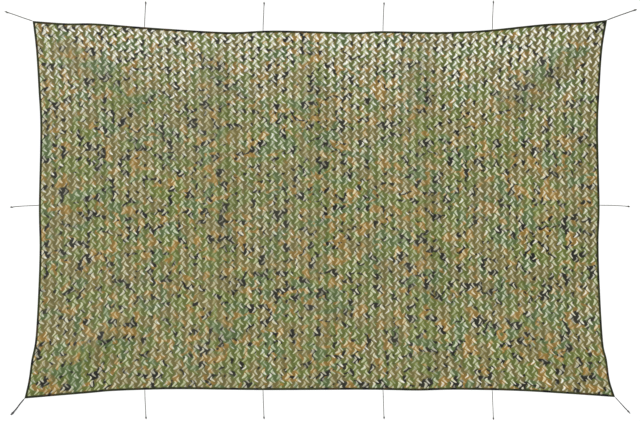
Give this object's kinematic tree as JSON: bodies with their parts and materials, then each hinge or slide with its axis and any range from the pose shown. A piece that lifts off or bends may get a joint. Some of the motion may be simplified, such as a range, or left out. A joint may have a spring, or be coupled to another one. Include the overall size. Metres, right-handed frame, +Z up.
{
  "type": "camouflage net",
  "caption": "Rectangular woodland camouflage net laid out flat: one cloth cut in a herringbone of leaf-shaped slits, dark folded tape round the edge, short knotted ties at corners and sides.",
  "frame": {"origin": "on the ground under the middle of the net's box, ties left out", "axes": "+X along the net's length, +Y across it towards its upper edge, +Z up"},
  "size_m": [6.6363, 4.4042, 0.022],
  "materials": {
    "net_cloth": "matte printed polyester cloth, woodland colours",
    "edge_tape": "dark olive woven tape",
    "tie_cord": "dark grey-olive twisted cord"
  },
  "bodies": {
    "root": {"net": "net_cloth", "binding_bottom": "edge_tape", "binding_right": "edge_tape", "binding_top": "edge_tape", "binding_left": "edge_tape", "tie_top_1": "tie_cord", "tie_top_2": "tie_cord", "tie_top_3": "tie_cord", "tie_top_4": "tie_cord", "tie_bottom_1": "tie_cord", "tie_bottom_2": "tie_cord", "tie_bottom_3": "tie_cord", "tie_bottom_4": "tie_cord", "tie_left": "tie_cord", "tie_right": "tie_cord", "tie_top_left": "tie_cord", "tie_top_right": "tie_cord", "tie_bottom_left": "tie_cord", "tie_bottom_right": "tie_cord"}
  },
  "joints": []
}
